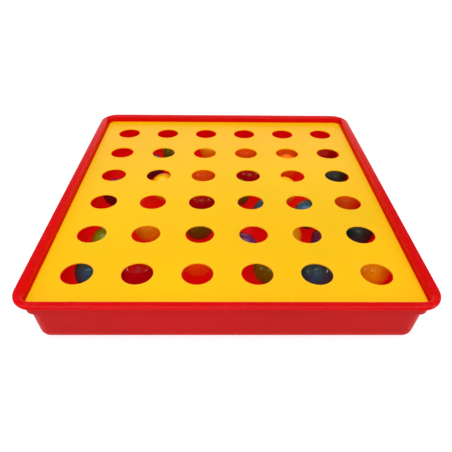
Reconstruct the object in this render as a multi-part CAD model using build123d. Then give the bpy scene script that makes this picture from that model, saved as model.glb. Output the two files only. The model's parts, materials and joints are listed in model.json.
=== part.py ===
"""Giant four in a row, lying flat: a moulded tray, a perforated play board and loose play balls.

Millimetres, +Z up.  The origin is the centre of the tray's underside, +X runs across the
columns and +Y away from the player.  At rest the board lies in the tray and the balls are
stored below it, on the tray's floor.
"""
import os
from build123d import *

# --- play field ---------------------------------------------------------------------------
COLUMNS = 6
ROWS = 6
COLUMN_PITCH = 100.0
ROW_PITCH = 108.2
HOLE_DIAMETER = 53.5
HOLE_BEVEL = 1.2            # small cone at the mouth of each hole

# --- plan: every outline is an offset outwards from one reference rectangle -----------------
REF_HALF_X = 314.5
REF_HALF_Y = 344.8
WALL_CORNER = 25.0          # the rectangle's corner radius for the lower wall,
POCKET_CORNER = 15.0        # for the collar, the pocket and the board in it,
LIP_CORNER = 23.4           # and for the rolled rim

# --- tray -----------------------------------------------------------------------------------
SHELL = 3.0                 # wall and floor thickness
WALL_FOOT_OFFSET = -7.0     # outer wall at the underside
WALL_HEAD_OFFSET = -0.2     # outer wall where the collar starts
WALL_EDGE_ROUND = 17.5      # outside, from underside to wall
COLLAR_FOOT = 67.0          # height at which the collar steps out from the wall
COLLAR_FOOT_OFFSET = 1.8
COLLAR_HEAD_OFFSET = 4.2
COLLAR_EDGE_ROUND = 1.0
LEDGE_HEIGHT = 74.0         # top of the ledge that carries the board
LEDGE_EDGE_ROUND = 1.0
POCKET_FOOT_OFFSET = 0.1    # inner face of the collar at the ledge
POCKET_HEAD_OFFSET = 1.8    # and at the crest, before rounding
RIM_TOP = 99.0
RIM_SHELL = 2.6             # thickness of the rolled rim
RIM_INNER_ROUND = 6.0
LIP_OFFSET = 18.0           # outer face of the turned-down lip
LIP_BOTTOM = 93.5
LIP_ROUND = 4.9

# --- board ----------------------------------------------------------------------------------
BOARD_TOP = 85.0
BOARD_SHEET = 3.0
BOARD_OFFSET = -0.5         # outer face of the turned-down edge
BOARD_EDGE_ROUND = 2.5

# --- balls ----------------------------------------------------------------------------------
BALL_DIAMETER = 65.0
BALL_SHELL = 1.0
FLOOR_CLEARANCE = 0.3
BALL_CENTRES = {
    "blue": [(-244, -214), (165, -212), (272, -83), (91, -21), (179, -28), (268, 140)],
    "red": [(-163, -208), (-53, 28), (60, 145), (266, 257)],
    "yellow": [(270, -205), (-158, -74), (120, -105), (134, 69), (-143, 82), (-34, 276)],
    "orange": [(-55, -180), (272, 28), (-54, 138), (57, 253), (154, 180), (166, 252)],
    "green": [(81, -202), (-233, -127), (-57, -66), (26, 60), (-135, 262)],
    "purple": [(30, -147), (201, -122), (-249, 55), (-185, 181)],
}

# how far outside the reference rectangle, or above the rim, a cut is sure to be in the open
CLEAR = 40.0


def ring(face, corner):
    """Carry a section, drawn at X = offset, round the reference rectangle with this corner."""
    corner_x = REF_HALF_X - corner
    corner_y = REF_HALF_Y - corner
    upright = Pos(corner, 0, 0) * face
    solid = None
    for turn, half_run, reach in ((0, corner_y, corner_x), (90, corner_x, corner_y)):
        for side in (0, 180):
            straight = extrude(Pos(reach, half_run, 0) * upright, 2 * half_run, dir=(0, -1, 0))
            piece = Rot(0, 0, turn + side) * straight
            solid = piece if solid is None else solid + piece
    quarter = revolve(upright, axis=Axis.Z, revolution_arc=90)
    for turn, sx, sy in ((0, 1, 1), (90, -1, 1), (180, -1, -1), (270, 1, -1)):
        solid += Pos(sx * corner_x, sy * corner_y, 0) * Rot(0, 0, turn) * quarter
    return solid


def middle(corner, bottom, top):
    """The flat slab that fills a ring's inside, out to its corner centres."""
    size_x = 2 * (REF_HALF_X - corner)
    size_y = 2 * (REF_HALF_Y - corner)
    return Pos(0, 0, bottom) * Box(size_x, size_y, top - bottom,
                                   align=(Align.CENTER, Align.CENTER, Align.MIN))


def slab(outline, corner, rounds=()):
    """A solid with a flat top and underside whose edge follows the (offset, height) points."""
    bottom = outline[0][1]
    top = outline[-1][1]
    face = section([(-corner, bottom), *outline, (-corner, top)])
    return ring(rounded(face, rounds), corner) + middle(corner, bottom, top)


def section(points):
    """A closed section in the XZ plane from (offset, height) points."""
    return make_face(Polyline(*[(x, 0, z) for x, z in points], close=True))


def rounded(face, rounds):
    """Round the section's corners nearest to the given (offset, height) points."""
    for (x, z), radius in rounds:
        corner = face.vertices().sort_by_distance((x, 0, z))[0]
        face = fillet([corner], radius)
    return face


def between(height, foot, head):
    """Offset at a height on the straight line between two (offset, height) points."""
    share = (height - foot[1]) / (head[1] - foot[1])
    return foot[0] + share * (head[0] - foot[0])


WALL_FOOT = (WALL_FOOT_OFFSET, 0)
WALL_HEAD = (WALL_HEAD_OFFSET, COLLAR_FOOT)


def lower_wall():
    """The drafted wall, filled, with the large round at its foot."""
    head = (between(LEDGE_HEIGHT, WALL_FOOT, WALL_HEAD), LEDGE_HEIGHT)
    return slab([WALL_FOOT, head], WALL_CORNER, [(WALL_FOOT, WALL_EDGE_ROUND)])


def collar():
    """The upright band above the wall that holds the board in place, filled."""
    foot = (COLLAR_FOOT_OFFSET, COLLAR_FOOT)
    head = (COLLAR_HEAD_OFFSET, RIM_TOP)
    return slab([foot, head], POCKET_CORNER, [(foot, COLLAR_EDGE_ROUND)])


def rim():
    """The rolled rim round the top: a thin cover that ends in a turned-down lip, filled inside."""
    top = (LIP_OFFSET, RIM_TOP)
    cover = slab([(LIP_OFFSET, LIP_BOTTOM), top], LIP_CORNER, [(top, LIP_ROUND)])
    inner_offset = LIP_OFFSET - RIM_SHELL
    inner_top = (inner_offset, RIM_TOP - RIM_SHELL)
    hollow = slab([(inner_offset, LIP_BOTTOM), inner_top], LIP_CORNER,
                  [(inner_top, LIP_ROUND - RIM_SHELL)])
    return cover - (hollow - collar())


def store():
    """The space for the balls, from the floor up to the ledge."""
    foot = (between(SHELL, WALL_FOOT, WALL_HEAD) - SHELL, SHELL)
    head = (between(LEDGE_HEIGHT, WALL_FOOT, WALL_HEAD) - SHELL, LEDGE_HEIGHT)
    return slab([foot, head], WALL_CORNER, [(foot, WALL_EDGE_ROUND - SHELL)])


def pocket():
    """The space for the board above the ledge, flared out by the rim's inner round."""
    crest = (POCKET_HEAD_OFFSET, RIM_TOP)
    outline = [(POCKET_FOOT_OFFSET, LEDGE_HEIGHT), crest, (CLEAR, RIM_TOP), (CLEAR, RIM_TOP + SHELL)]
    return slab(outline, POCKET_CORNER, [(crest, RIM_INNER_ROUND)])


def make_tray():
    return lower_wall() + collar() + rim() - store() - pocket()


def hole_centres():
    for row in range(ROWS):
        for column in range(COLUMNS):
            yield ((column - (COLUMNS - 1) / 2) * COLUMN_PITCH,
                   (row - (ROWS - 1) / 2) * ROW_PITCH)


def make_board():
    """The flat sheet with its turned-down edge, which stands on the tray's ledge."""
    top = (BOARD_OFFSET, BOARD_TOP)
    outside = slab([(BOARD_OFFSET, LEDGE_HEIGHT), top], POCKET_CORNER, [(top, BOARD_EDGE_ROUND)])
    inner_offset = BOARD_OFFSET - BOARD_SHEET
    under = slab([(inner_offset, LEDGE_HEIGHT), (inner_offset, BOARD_TOP - BOARD_SHEET)],
                 POCKET_CORNER)
    board = outside - under
    cutter = Cylinder(HOLE_DIAMETER / 2, 4 * BOARD_SHEET)
    mouth = Cone(HOLE_DIAMETER / 2, HOLE_DIAMETER / 2 + HOLE_BEVEL, HOLE_BEVEL,
                 align=(Align.CENTER, Align.CENTER, Align.MAX))
    for x, y in hole_centres():
        board -= Pos(x, y, BOARD_TOP) * cutter
        board -= Pos(x, y, BOARD_TOP) * mouth
    return board


def make_ball(x, y):
    """A hollow blow-moulded ball on the tray's floor."""
    ball = Sphere(BALL_DIAMETER / 2) - Sphere(BALL_DIAMETER / 2 - BALL_SHELL)
    return Pos(x, y, SHELL + FLOOR_CLEARANCE + BALL_DIAMETER / 2) * ball


def main():
    os.makedirs("parts", exist_ok=True)
    export_step(make_tray(), "parts/tray.step")
    export_step(make_board(), "parts/play_board.step")
    for colour, centres in BALL_CENTRES.items():
        for number, (x, y) in enumerate(centres, start=1):
            export_step(make_ball(x, y), f"parts/ball_{colour}_{number}.step")


main()
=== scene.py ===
"""Looks for the giant four in a row: plastics, detailed play balls, a pale studio and a camera."""
import json
import math
import random

import bpy
from mathutils import Euler, Matrix, Vector


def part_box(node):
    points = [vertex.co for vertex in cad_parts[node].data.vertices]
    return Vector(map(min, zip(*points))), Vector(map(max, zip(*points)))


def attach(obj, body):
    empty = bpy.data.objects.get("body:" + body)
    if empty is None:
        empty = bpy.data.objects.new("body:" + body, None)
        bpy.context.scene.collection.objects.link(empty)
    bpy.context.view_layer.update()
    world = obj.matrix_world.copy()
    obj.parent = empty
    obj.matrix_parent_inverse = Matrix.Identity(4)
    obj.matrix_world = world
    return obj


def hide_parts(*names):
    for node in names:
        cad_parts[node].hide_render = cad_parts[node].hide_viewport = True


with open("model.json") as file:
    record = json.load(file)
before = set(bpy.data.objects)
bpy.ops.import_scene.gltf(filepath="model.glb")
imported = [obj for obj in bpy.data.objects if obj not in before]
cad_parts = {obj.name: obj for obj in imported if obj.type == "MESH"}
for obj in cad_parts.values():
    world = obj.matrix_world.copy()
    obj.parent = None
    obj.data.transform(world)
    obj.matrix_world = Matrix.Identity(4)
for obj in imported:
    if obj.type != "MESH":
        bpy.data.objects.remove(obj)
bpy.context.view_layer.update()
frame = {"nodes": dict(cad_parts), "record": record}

# all lengths are in metres
BOARD_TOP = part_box("play_board")[1].z
RIM_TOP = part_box("tray")[1].z

# the grid of holes, read from the seats in the record
SEATS = {m["name"]: m for m in frame["record"]["mounts"] if m["name"].startswith("seat_")}
FIRST_SEAT = Vector(SEATS["seat_row1_col1"]["pos_m"])
NEXT_SEAT = Vector(SEATS["seat_row2_col2"]["pos_m"])
COLUMN_PITCH = NEXT_SEAT.x - FIRST_SEAT.x
ROW_PITCH = NEXT_SEAT.y - FIRST_SEAT.y
HOLE_RADIUS = SEATS["seat_row1_col1"]["dims"]["r_mm"] / 1000

# camera: the player's side, looking down on the board
CAMERA_ELEVATION = math.radians(36.41)
CAMERA_YAW = math.radians(0.943)
CAMERA_ROLL = math.radians(0.745)
CAMERA_DISTANCE = 0.8617
CAMERA_TARGET = Vector((-0.0012, -0.1384, BOARD_TOP))
LENS = 36.14
SENSOR = 36.0

# studio: name, place, point aimed at, size and radiance of each soft light
LIGHTS = (
    ("overhead_light", (0.0, -0.5, 2.4), (0.0, -0.5, 0.0), (4.4, 3.2), 2.0),
    ("front_light", (0.0, -3.0, 1.0), (0.0, 0.0, 0.05), (2.4, 1.2), 2.8),
    ("back_card", (0.0, 2.6, 0.65), (0.0, 0.0, 0.2), (3.2, 1.2), 2.0),
    ("side_strip", (-2.2, -1.0, 0.9), (0.0, -0.2, 0.1), (0.4, 1.2), 8.0),
    ("side_strip", (2.2, -1.0, 0.9), (0.0, -0.2, 0.1), (0.4, 1.2), 8.0),
)
WHITE = (1.0, 1.0, 1.0, 1.0)
ROOM_LIGHT = 0.32
WALL_BRIGHTNESS = 0.9
FLOOR_SIZE = 24
FLOOR_GREY = (0.35, 0.35, 0.35, 1.0)
FLOOR_GLOW = 0.75

# wear on the tray and board: where it starts to fade and where it ends
FOOT_WEAR = (0.002, 0.016)
CREST_WEAR = 0.003
HOLE_WEAR = (0.001, 0.009)

# balls: seam and filling plug; plug and nib edges are an outer radius and a slope, in plug radii
BALL_COLUMNS = 72
BALL_ROWS = 44
SEAM_HEIGHT = 0.00022
SEAM_WIDTH = 0.0009
SEAM_STEPS = (0.25, 0.5, 1.0)
PLUG_RADIUS = 0.0032
PLUG_DEPTH = 0.0005
PLUG_STEPS = (0.2, 0.3, 0.9, 1.0, 1.1)
PLUG_EDGE = (1.1, 0.2)
NIB_EDGE = (0.3, 0.1)
NIB_HEIGHT = 0.8 * PLUG_DEPTH
BALL_SEED = 4
BALL_COLOURS = {
    "blue": ((40, 100, 140), (32, 86, 124)),
    "red": ((205, 8, 44), (185, 4, 36)),
    "yellow": ((255, 214, 20), (250, 200, 10)),
    "orange": ((255, 140, 24), (252, 122, 16)),
    "green": ((122, 138, 12), (108, 124, 8)),
    "purple": ((104, 34, 106), (90, 26, 94)),
}


def srgb(red, green, blue):
    """Linear colour from 0-255 display values."""
    def linear(value):
        value /= 255
        return value / 12.92 if value <= 0.04045 else ((value + 0.055) / 1.055) ** 2.4
    return (linear(red), linear(green), linear(blue), 1.0)


# --- camera and studio ------------------------------------------------------------------------
def add_camera():
    """Looks at the target from the given distance, turned by yaw, elevation and roll."""
    forward = Vector((math.sin(CAMERA_YAW) * math.cos(CAMERA_ELEVATION),
                      math.cos(CAMERA_YAW) * math.cos(CAMERA_ELEVATION),
                      -math.sin(CAMERA_ELEVATION)))
    level = Vector((math.cos(CAMERA_YAW), -math.sin(CAMERA_YAW), 0.0))
    upright = level.cross(forward)
    right = math.cos(CAMERA_ROLL) * level + math.sin(CAMERA_ROLL) * upright
    up = math.cos(CAMERA_ROLL) * upright - math.sin(CAMERA_ROLL) * level
    data = bpy.data.cameras.new("camera")
    data.lens = LENS
    data.sensor_width = SENSOR
    camera = bpy.data.objects.new("camera", data)
    place = CAMERA_TARGET - forward * CAMERA_DISTANCE
    rotation = Matrix((right, up, -forward)).transposed().to_4x4()
    camera.matrix_world = Matrix.Translation(place) @ rotation
    bpy.context.scene.collection.objects.link(camera)
    bpy.context.scene.camera = camera


def add_light(name, place, aim, size, radiance):
    """A soft rectangular light; its power follows from its size, so that radiance sets its look."""
    data = bpy.data.lights.new(name, "AREA")
    data.shape = "RECTANGLE"
    data.size, data.size_y = size
    data.energy = radiance * math.pi * size[0] * size[1]
    light = bpy.data.objects.new(name, data)
    light.location = place
    light.rotation_euler = (Vector(aim) - light.location).to_track_quat("-Z", "Y").to_euler()
    bpy.context.scene.collection.objects.link(light)


def white_background(tree, strength):
    node = tree.nodes.new("ShaderNodeBackground")
    node.inputs["Color"].default_value = WHITE
    node.inputs["Strength"].default_value = strength
    return node.outputs["Background"]


def dim_room_with_white_wall():
    """A world that looks white, but lights the object only faintly, so that the lamps shape it."""
    world = bpy.data.worlds.new("studio")
    world.use_nodes = True
    tree = world.node_tree
    tree.nodes.remove(tree.nodes["Background"])
    path = tree.nodes.new("ShaderNodeLightPath")
    mix = tree.nodes.new("ShaderNodeMixShader")
    tree.links.new(path.outputs["Is Camera Ray"], mix.inputs["Fac"])
    tree.links.new(white_background(tree, ROOM_LIGHT), mix.inputs[1])
    tree.links.new(white_background(tree, WALL_BRIGHTNESS), mix.inputs[2])
    tree.links.new(mix.outputs["Shader"], tree.nodes["World Output"].inputs["Surface"])
    return world


def add_studio():
    """Soft lights, a white room and a pale floor that glows a little, so that it stays white."""
    scene = bpy.context.scene
    scene.view_settings.view_transform = "Standard"
    scene.world = dim_room_with_white_wall()
    for light in LIGHTS:
        add_light(*light)
    bpy.ops.mesh.primitive_plane_add(size=FLOOR_SIZE)
    floor = bpy.context.object
    floor.name = "studio_floor"
    n = Nodes("pale_floor")
    n.set(n.shader, "Base Color", FLOOR_GREY)
    n.set(n.shader, "Roughness", 0.85)
    n.set(n.shader, "Specular IOR Level", 0.1)
    n.set(n.shader, "Emission Color", WHITE)
    n.set(n.shader, "Emission Strength", FLOOR_GLOW)
    cover(floor, n.material)


# --- materials --------------------------------------------------------------------------------
class Nodes:
    """Short helper for building one material's node tree."""

    def __init__(self, name):
        self.material = bpy.data.materials.new(name)
        self.material.use_nodes = True
        self.tree = self.material.node_tree
        self.shader = self.tree.nodes["Principled BSDF"]
        self.output = self.tree.nodes["Material Output"]

    def feed(self, socket, value):
        """Links another node's output to a socket, or sets it to a number or colour."""
        if isinstance(value, bpy.types.NodeSocket):
            self.tree.links.new(value, socket)
        else:
            socket.default_value = value

    def set(self, node, key, value):
        self.feed(node.inputs[key], value)

    def add(self, kind, settings=None, **inputs):
        node = self.tree.nodes.new(kind)
        for key, value in (settings or {}).items():
            setattr(node, key, value)
        for key, value in inputs.items():
            self.set(node, key.replace("_", " "), value)
        return node

    def place(self):
        """Coordinates in the piece's own frame, in metres."""
        return self.add("ShaderNodeTexCoord").outputs["Object"]

    def noise(self, scale, detail=4.0, roughness=0.5, stretch=None):
        """Noise 0-1; scale is in features per metre, stretch squeezes an axis into streaks."""
        at = self.place()
        if stretch:
            at = self.add("ShaderNodeMapping", Vector=at, Scale=stretch).outputs["Vector"]
        return self.add("ShaderNodeTexNoise", Vector=at, Scale=scale, Detail=detail,
                        Roughness=roughness).outputs["Fac"]

    def spread(self, value, low, high, start=0.3, end=0.7):
        """Maps a value that runs from start to end to low to high, clamped."""
        return self.add("ShaderNodeMapRange", Value=value, From_Min=start, From_Max=end,
                        To_Min=low, To_Max=high).outputs["Result"]

    def maths(self, operation, *values):
        node = self.add("ShaderNodeMath", {"operation": operation})
        for socket, value in zip(node.inputs, values):
            self.feed(socket, value)
        return node.outputs["Value"]

    def axes(self):
        """Separate X, Y and Z outputs of the piece's coordinates."""
        node = self.add("ShaderNodeSeparateXYZ", Vector=self.place())
        return node.outputs["X"], node.outputs["Y"], node.outputs["Z"]

    def blend(self, factor, first, second):
        """Colour from first to second as factor goes from 0 to 1."""
        node = self.add("ShaderNodeMix", {"data_type": "RGBA"})
        colours = [s for s in node.inputs if s.type == "RGBA"]
        for socket, value in zip((node.inputs[0], *colours), (factor, first, second)):
            self.feed(socket, value)
        return next(s for s in node.outputs if s.type == "RGBA")

    def bump(self, height, strength, distance, normal=None):
        node = self.add("ShaderNodeBump", Height=height, Strength=strength, Distance=distance)
        if normal is not None:
            self.set(node, "Normal", normal)
        return node.outputs["Normal"]

    def let_light_through(self, colour, share):
        """Mixes in light that passes through the thin plastic wall."""
        glow = self.add("ShaderNodeBsdfTranslucent", Color=colour)
        mix = self.add("ShaderNodeMixShader", Fac=share)
        self.tree.links.new(self.shader.outputs["BSDF"], mix.inputs[1])
        self.tree.links.new(glow.outputs["BSDF"], mix.inputs[2])
        self.tree.links.new(mix.outputs["Shader"], self.output.inputs["Surface"])


def cover(obj, material):
    """Gives an object this material alone."""
    obj.data.materials.clear()
    obj.data.materials.append(material)


def scuffs(n, scale, stretch, amount):
    """Thin, sparse rubbed streaks, 0 where the plastic is untouched."""
    streak = n.noise(scale, detail=3.0, roughness=0.6, stretch=stretch)
    patch = n.noise(9.0, detail=2.0)
    return n.maths("MULTIPLY", n.spread(streak, 0.0, amount, start=0.60, end=0.72),
                   n.spread(patch, 0.0, 1.0, start=0.45, end=0.65))


def tray_plastic():
    """Red moulded plastic: glossy, faintly wavy, rubbed duller along the foot and the rim."""
    n = Nodes("tray_red_plastic")
    height = n.axes()[2]
    drift = n.spread(n.noise(4.0, detail=3.0), 0.0, 1.0, start=0.35, end=0.65)
    colour = n.blend(drift, srgb(194, 4, 12), srgb(184, 2, 9))
    foot = n.spread(height, 1.0, 0.0, *FOOT_WEAR)
    crest = n.spread(height, 0.0, 1.0, RIM_TOP - CREST_WEAR, RIM_TOP)
    patches = n.spread(n.noise(60.0, detail=6.0, roughness=0.7), 0.0, 1.0, start=0.5, end=0.7)
    rubbed = n.maths("MULTIPLY", n.maths("MAXIMUM", foot, crest), patches)
    marks = n.maths("MAXIMUM", rubbed, scuffs(n, 55.0, stretch=(1.0, 1.0, 9.0), amount=1.0))
    colour = n.blend(n.maths("MULTIPLY", marks, 0.12), colour, srgb(226, 92, 92))
    polish = n.spread(n.noise(16.0, detail=5.0, roughness=0.6), 0.17, 0.25)
    n.set(n.shader, "Base Color", colour)
    n.set(n.shader, "Roughness", n.maths("MULTIPLY_ADD", marks, 0.1, polish))
    wave = n.bump(n.noise(22.0, detail=2.0), strength=0.25, distance=0.0008)
    grain = n.bump(n.noise(900.0, detail=2.0), strength=0.12, distance=0.0002, normal=wave)
    n.set(n.shader, "Normal", grain)
    n.set(n.shader, "Specular IOR Level", 0.24)
    n.let_light_through(srgb(250, 28, 24), share=0.6)
    return n.material


def hole_distance(n):
    """Distance in metres from the edge of the nearest hole in the board."""
    x, y, _ = n.axes()
    squares = []
    for value, first, pitch in ((x, FIRST_SEAT.x, COLUMN_PITCH), (y, FIRST_SEAT.y, ROW_PITCH)):
        cells = n.maths("DIVIDE", n.maths("SUBTRACT", value, first), pitch)
        offset = n.maths("SUBTRACT", cells, n.maths("ROUND", cells))
        step = n.maths("MULTIPLY", offset, pitch)
        squares.append(n.maths("MULTIPLY", step, step))
    reach = n.maths("SQRT", n.maths("ADD", *squares))
    return n.maths("SUBTRACT", reach, HOLE_RADIUS)


def board_plastic():
    """Yellow moulded sheet: satin, fine grain, ball rubs round the holes and a few light scuffs."""
    n = Nodes("board_yellow_plastic")
    drift = n.spread(n.noise(3.0, detail=3.0), 0.0, 1.0, start=0.35, end=0.65)
    colour = n.blend(drift, srgb(255, 226, 0), srgb(252, 218, 0))
    near_hole = n.spread(hole_distance(n), 1.0, 0.0, *HOLE_WEAR)
    patches = n.spread(n.noise(45.0, detail=6.0, roughness=0.7), 0.3, 1.0)
    rub = n.maths("MULTIPLY", near_hole, patches)
    marks = n.maths("MAXIMUM", rub, scuffs(n, 38.0, stretch=(9.0, 1.0, 1.0), amount=0.8))
    colour = n.blend(n.maths("MULTIPLY", marks, 0.3), colour, srgb(255, 214, 60))
    polish = n.spread(n.noise(12.0, detail=5.0, roughness=0.6), 0.30, 0.40)
    n.set(n.shader, "Base Color", colour)
    n.set(n.shader, "Roughness", n.maths("MULTIPLY_ADD", marks, 0.12, polish))
    wave = n.bump(n.noise(14.0, detail=2.0), strength=0.2, distance=0.0008)
    grain = n.bump(n.noise(1100.0, detail=2.0), strength=0.15, distance=0.0002, normal=wave)
    n.set(n.shader, "Normal", grain)
    n.set(n.shader, "Specular IOR Level", 0.25)
    n.let_light_through(srgb(252, 216, 12), share=0.52)
    return n.material


def ball_plastic(colour, tones):
    """Thin blow-moulded plastic: glossy, with faint cloudiness and handling marks."""
    n = Nodes(f"ball_{colour}_plastic")
    light, deep = (srgb(*tone) for tone in tones)
    cloud = n.spread(n.noise(28.0), 0.0, 1.0, start=0.35, end=0.65)
    n.set(n.shader, "Base Color", n.blend(cloud, light, deep))
    marks = scuffs(n, 130.0, stretch=(1.0, 6.0, 1.0), amount=1.0)
    polish = n.spread(n.noise(60.0, detail=5.0, roughness=0.6), 0.09, 0.17)
    n.set(n.shader, "Roughness", n.maths("MULTIPLY_ADD", marks, 0.25, polish))
    n.set(n.shader, "Normal", n.bump(n.noise(90.0, detail=3.0), strength=0.2, distance=0.0004))
    n.let_light_through(light, share=0.2)
    return n.material


# --- balls --------------------------------------------------------------------------------------
def ball_latitudes(radius):
    """Angles from pole to pole, in even steps with extra ones at the seam and at the plug."""
    even = [math.pi * k / BALL_ROWS for k in range(BALL_ROWS + 1)]
    seam = [math.pi / 2 + side * SEAM_WIDTH * step / radius
            for side in (-1, 1) for step in SEAM_STEPS]
    plug = [PLUG_RADIUS * step / radius for step in PLUG_STEPS]
    return sorted(set(even + seam + plug))


def slope(distance, outer, width):
    """Falls from 1 to 0 over the given width, and reaches 0 at the outer distance."""
    return min(1.0, max(0.0, (outer - distance) / width))


def ball_radius(radius, angle):
    """Radius of the ball at an angle from its top pole, with the raised seam and the sunk plug."""
    from_seam = abs(angle - math.pi / 2) * radius
    from_pole = angle * radius / PLUG_RADIUS
    seam = SEAM_HEIGHT * slope(from_seam, SEAM_WIDTH, SEAM_WIDTH)
    sunk = PLUG_DEPTH * slope(from_pole, *PLUG_EDGE)
    nib = NIB_HEIGHT * slope(from_pole, *NIB_EDGE)
    return radius - SEAM_HEIGHT + seam - sunk + nib


def ball_mesh(name, radius):
    """A closed surface of revolution; its poles are single points."""
    angles = ball_latitudes(radius)
    points = [(0, 0, ball_radius(radius, 0))]
    for angle in angles[1:-1]:
        reach = ball_radius(radius, angle)
        for k in range(BALL_COLUMNS):
            turn = 2 * math.pi * k / BALL_COLUMNS
            points.append((reach * math.sin(angle) * math.cos(turn),
                           reach * math.sin(angle) * math.sin(turn),
                           reach * math.cos(angle)))
    points.append((0, 0, -ball_radius(radius, math.pi)))
    rows = len(angles) - 2
    last = 1 + (rows - 1) * BALL_COLUMNS
    faces = []
    for k in range(BALL_COLUMNS):
        after = (k + 1) % BALL_COLUMNS
        faces.append((0, 1 + k, 1 + after))
        faces.append((last + k, len(points) - 1, last + after))
        for row in range(rows - 1):
            here = 1 + row * BALL_COLUMNS
            below = here + BALL_COLUMNS
            faces.append((here + k, below + k, below + after, here + after))
    mesh = bpy.data.meshes.new(name)
    mesh.from_pydata(points, [], faces)
    mesh.validate()
    for face in mesh.polygons:
        face.use_smooth = True
    return mesh


def add_balls():
    """Replaces each plain ball with a seamed one, turned its own way, on the same body."""
    chance = random.Random(BALL_SEED)
    for colour, tones in BALL_COLOURS.items():
        plastic = ball_plastic(colour, tones)
        names = sorted(name for name in frame["nodes"] if name.startswith(f"ball_{colour}_"))
        for name in names:
            low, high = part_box(name)
            mesh = ball_mesh(f"{name}_skin", (high.z - low.z) / 2)
            turn = Euler([chance.uniform(0, 2 * math.pi) for _ in range(3)])
            mesh.transform(turn.to_matrix().to_4x4())
            ball = bpy.data.objects.new(f"{name}_skin", mesh)
            ball.location = (low + high) / 2
            bpy.context.scene.collection.objects.link(ball)
            cover(ball, plastic)
            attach(ball, name)
            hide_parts(name)


add_camera()
add_studio()
cover(frame["nodes"]["tray"], tray_plastic())
cover(frame["nodes"]["play_board"], board_plastic())
add_balls()
